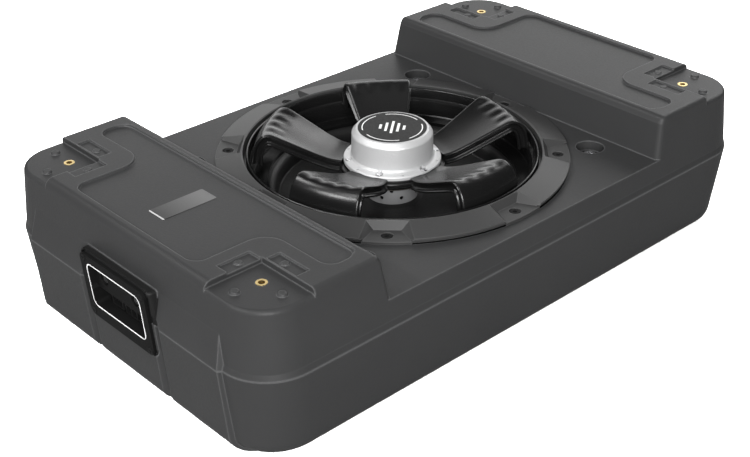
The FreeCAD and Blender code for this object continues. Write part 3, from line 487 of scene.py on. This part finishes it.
MATERIALS = {
    "baffle_shell": shell,
    "base_shell": shell,
    "shell_gasket": gasket,
    "shell_screws": zinc,
    "mount_inserts": brass,
    "rating_plate": nameplate_material(),
    "trim_ring": ring_material(),
    "ring_screws": black_screw,
    "flange_gasket": gasket,
    "basket": basket_paint,
    "woofer_terminals": dark_plastic,
    "lead_wires": copper,
    "motor_cup": casting_material(),
    "motor_screws": zinc,
    "isolation_plate": dark_plastic,
    "gap_plate": steel,
    "magnet": surface("ferrite", grey(0.04), 0.55, metallic=0.3, grain=600.0).material,
    "pole_plate": steel,
    "motor_badge": badge_material(),
    "coil_former": former_metal,
    "coil_winding": copper,
    "cone": surface("cone_pulp", grey(0.012), 0.6, grain=700.0, relief=0.5, shade=0.25).material,
    "dust_cap": surface("cap_pulp", grey(0.012), 0.6, grain=700.0, relief=0.5).material,
    "surround": rubber,
    "spider": cloth("spider_cloth", (0.045, 0.04, 0.035, 1.0), 1.2 * MM).material,
    "amp_faceplate": faceplate_material(),
    "faceplate_screws": black_screw,
    "gain_trim": dark_plastic,
    "lowpass_trim": dark_plastic,
    "gain_pot": surface("pot_body", (0.03, 0.06, 0.16, 1.0), 0.4).material,
    "lowpass_pot": surface("pot_body_low", (0.03, 0.06, 0.16, 1.0), 0.4).material,
    "power_led": surface("led", (0.75, 0.78, 0.8, 1.0), 0.25, grain=500.0, relief=0.05).material,
    "power_socket": socket_plastic,
    "signal_socket": socket_plastic,
    "amp_tray": sheet,
    "tray_screws": zinc,
    "board_spacers": brass,
    "board_screws": zinc,
    "amp_board": surface("board", (0.015, 0.09, 0.04, 1.0), 0.35, grain=400.0, shade=0.3).material,
    "heat_sink": surface("sink_metal", grey(0.05), 0.4, metallic=0.8, grain=800.0).material,
    "output_transistors": package,
    "power_capacitors": surface("can_sleeve", (0.02, 0.025, 0.06, 1.0), 0.3).material,
    "power_choke": surface("core", (0.35, 0.28, 0.04, 1.0), 0.5).material,
    "link_cables": surface("cable", grey(0.02), 0.5, grain=900.0).material,
    "woofer_cable": surface("cable_pair", (0.12, 0.02, 0.02, 1.0), 0.5, grain=900.0).material,
    "damping_foam": cloth("foam", grey(0.10), 2.5 * MM).material,
}

for name, material in MATERIALS.items():
    mesh = nodes[name].data
    mesh.materials.clear()
    mesh.materials.append(material)


# ---- pieces that replace CAD nodes --------------------------------------------------------------
def basket():
    verts, faces = basket_mesh()
    obj = make_object("basket_frame", verts, faces, basket_paint, 38.0)
    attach(obj, "enclosure")
    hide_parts("basket")


def surround():
    profile = smooth_line([
        (119.0, 73.95), (106.5, 73.95), (102.4, 72.9), (99.8, 70.6), (98.4, 67.4), (97.7, 64.6), (97.3, 62.6),
        (96.4, 61.9),
    ], 5)
    back = smooth_line([
        (96.1, 60.6), (97.9, 61.2), (98.9, 63.6), (99.8, 67.2), (101.4, 69.6), (103.6, 71.4), (106.8, 72.45),
        (119.0, 72.45),
    ], 5)
    verts, faces = revolved(profile + back, 180)
    obj = make_object("surround_roll", verts, faces, rubber, 60.0)
    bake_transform(obj)
    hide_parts("surround")


def spider():
    top = [(39.4, 81.95), (35.6, 81.9)]
    inner = 22.15
    folds = 4
    steps = 8 * folds
    for k in range(steps + 1):
        t = k / steps
        r = 35.0 - (35.0 - inner - 1.8) * t
        z = 81.6 - 4.6 * t - 0.75 * math.sin(2 * math.pi * folds * t) * math.sin(math.pi * t)
        top.append((r, z))
    top += [(inner + 0.8, 77.2), (inner, 77.9)]
    low = [(r, z - 0.7) for r, z in reversed(top)]
    verts, faces = revolved(top + low, 120)
    obj = make_object("spider_cup", verts, faces, MATERIALS["spider"], 60.0)
    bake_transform(obj)
    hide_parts("spider")


basket()
surround()
spider()


# ---- camera, light, floor -----------------------------------------------------------------------
CAMERA_PLACE = Vector((-0.7085, -0.7512, 0.6217))
CAMERA_FORWARD = Vector((0.5841, 0.6379, -0.5020))
CAMERA_UP = Vector((0.3454, 0.3644, 0.8648))
CAMERA_LENS = 65.38
LAMP_DISTANCE = 2.4
LAMP_AIM = Vector((0, 0, 0.07))
FLOOR_GAIN = 2.6
FLOOR_MIRRORED = 0.3
FLOOR_HALF = 6.0


def camera():
    data = bpy.data.cameras.new("camera")
    data.sensor_width = 36.0
    data.lens = CAMERA_LENS
    data.clip_start = 0.05
    obj = bpy.data.objects.new("camera", data)
    bpy.context.scene.collection.objects.link(obj)
    forward = CAMERA_FORWARD.normalized()
    up = CAMERA_UP.normalized()
    right = forward.cross(up).normalized()
    up = right.cross(forward)
    place = Matrix((right, up, -forward)).transposed().to_4x4()
    place.translation = CAMERA_PLACE
    obj.matrix_world = place
    bpy.context.scene.camera = obj


def soft_box(name, azimuth, height, power, size_x, size_y):
    """Rectangular lamp aimed at the box from an azimuth and an elevation in degrees."""
    data = bpy.data.lights.new(name, "AREA")
    data.shape = "RECTANGLE"
    data.size = size_x
    data.size_y = size_y
    data.energy = power
    obj = bpy.data.objects.new(name, data)
    bpy.context.scene.collection.objects.link(obj)
    turn, lift = math.radians(azimuth), math.radians(height)
    away = Vector((math.cos(turn) * math.cos(lift), math.sin(turn) * math.cos(lift), math.sin(lift)))
    obj.location = LAMP_AIM + LAMP_DISTANCE * away
    obj.rotation_euler = (-away).to_track_quat("-Z", "Y").to_euler()


def world():
    """Even white studio: dimmer for light than for the camera, so that the backdrop stays white."""
    w = bpy.data.worlds.new("studio")
    bpy.context.scene.world = w
    w.use_nodes = True
    tree = w.node_tree
    tree.nodes.clear()
    out = tree.nodes.new("ShaderNodeOutputWorld")
    mix = tree.nodes.new("ShaderNodeMixShader")
    path = tree.nodes.new("ShaderNodeLightPath")
    light = tree.nodes.new("ShaderNodeBackground")
    seen = tree.nodes.new("ShaderNodeBackground")
    light.inputs["Strength"].default_value = 0.06
    seen.inputs["Strength"].default_value = 1.0
    seen.inputs["Color"].default_value = (1.0, 1.0, 1.0, 1.0)
    tree.links.new(path.outputs["Is Camera Ray"], mix.inputs[0])
    tree.links.new(light.outputs[0], mix.inputs[1])
    tree.links.new(seen.outputs[0], mix.inputs[2])
    tree.links.new(mix.outputs[0], out.inputs[0])


def floor():
    """Plain pale sweep: white to the camera, darker in what it bounces and mirrors onto the box."""
    s = Shader("floor")
    path = s.add("ShaderNodeLightPath")
    drift = s.noise(3.0, 2.0)
    bounce = s.mix(drift, grey(0.52), grey(0.56))
    shown = s.mix(drift, grey(FLOOR_GAIN * 0.98), grey(FLOOR_GAIN))
    diffuse = s.add("ShaderNodeBsdfDiffuse")
    mirrored = s.mix(path.outputs["Is Glossy Ray"], bounce, grey(FLOOR_MIRRORED))
    s.link(s.mix(path.outputs["Is Camera Ray"], mirrored, shown), diffuse.inputs["Color"])
    # away from the box the camera sees plain white, so that the floor runs into the backdrop
    x, y = s.xyz()[:2]
    reach = s.math("SQRT", s.math("ADD", s.math("MULTIPLY", x, x), s.math("MULTIPLY", y, y)))
    far = s.math("MULTIPLY", s.spread(reach, 0.0, 1.0, 0.6, 1.3), path.outputs["Is Camera Ray"])
    white = s.add("ShaderNodeEmission")
    blend = s.add("ShaderNodeMixShader")
    s.link(far, blend.inputs[0])
    s.link(diffuse.outputs[0], blend.inputs[1])
    s.link(white.outputs[0], blend.inputs[2])
    s.link(blend.outputs[0], s.tree.nodes["Material Output"].inputs["Surface"])
    half = FLOOR_HALF
    corners = [(-half, -half), (half, -half), (half, half), (-half, half)]
    obj = make_object("floor", [(x, y, -0.0002) for x, y in corners], [(0, 1, 2, 3)], s.material)


camera()
world()
floor()
soft_box("left_high", 176, 55, 6.0, 0.6, 0.4)
soft_box("left_strip", 175, 40, 22.0, 0.9, 0.22)
soft_box("left_back", 125, 50, 14.0, 0.7, 0.4)
soft_box("camera_side", 232, 22, 68.0, 1.0, 1.0)
soft_box("front_high", 222, 58, 9.0, 0.5, 0.5)
soft_box("behind_low", 50, 12, 10.0, 2.2, 0.7)
soft_box("behind", 50, 30, 6.5, 2.2, 0.9)
soft_box("right", 10, 30, 16.0, 1.2, 1.2)
soft_box("overhead", 0, 89, 4.0, 2.0, 2.0)

scene = bpy.context.scene
scene.view_settings.view_transform = "Standard"
scene.view_settings.look = "None"
scene.cycles.use_denoising = True
scene.cycles.max_bounces = 6
